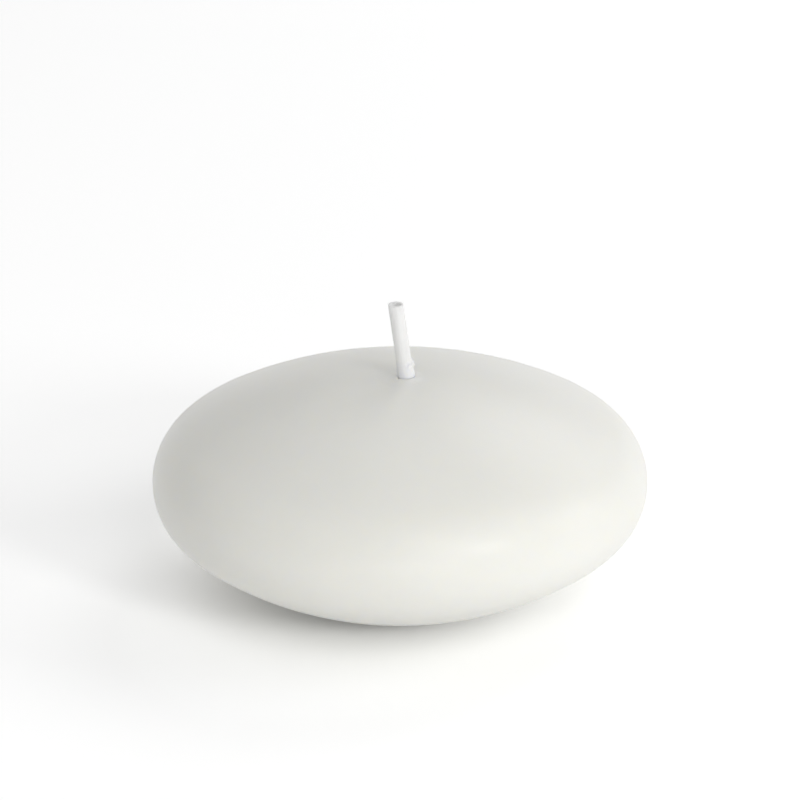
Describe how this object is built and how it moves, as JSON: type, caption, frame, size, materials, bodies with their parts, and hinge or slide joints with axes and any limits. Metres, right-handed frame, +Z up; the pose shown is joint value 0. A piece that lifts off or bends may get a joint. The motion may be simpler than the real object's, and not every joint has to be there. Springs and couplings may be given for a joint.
{
  "type": "floating candle",
  "caption": "Lens-shaped floating candle in ivory wax, with a short waxed wick that leans a little and a small metal wick sustainer set in its flat underside.",
  "frame": {"origin": "centre of the flat foot that the candle stands on, on the axis of the wax body", "axes": "+Z up along the axis of the wax body, -Y towards the viewer of the picture, +X to the viewer's right; the wick leans towards -X"},
  "size_m": [0.075, 0.075, 0.0452],
  "materials": {
    "ivory_wax": "smooth ivory paraffin wax with a satin sheen",
    "waxed_cotton": "white cotton wick coated in wax",
    "tinned_steel": "thin tinned steel, pressed"
  },
  "bodies": {
    "root": {"wax_body": "ivory_wax", "wick": "waxed_cotton", "wick_sustainer": "tinned_steel"}
  },
  "joints": []
}
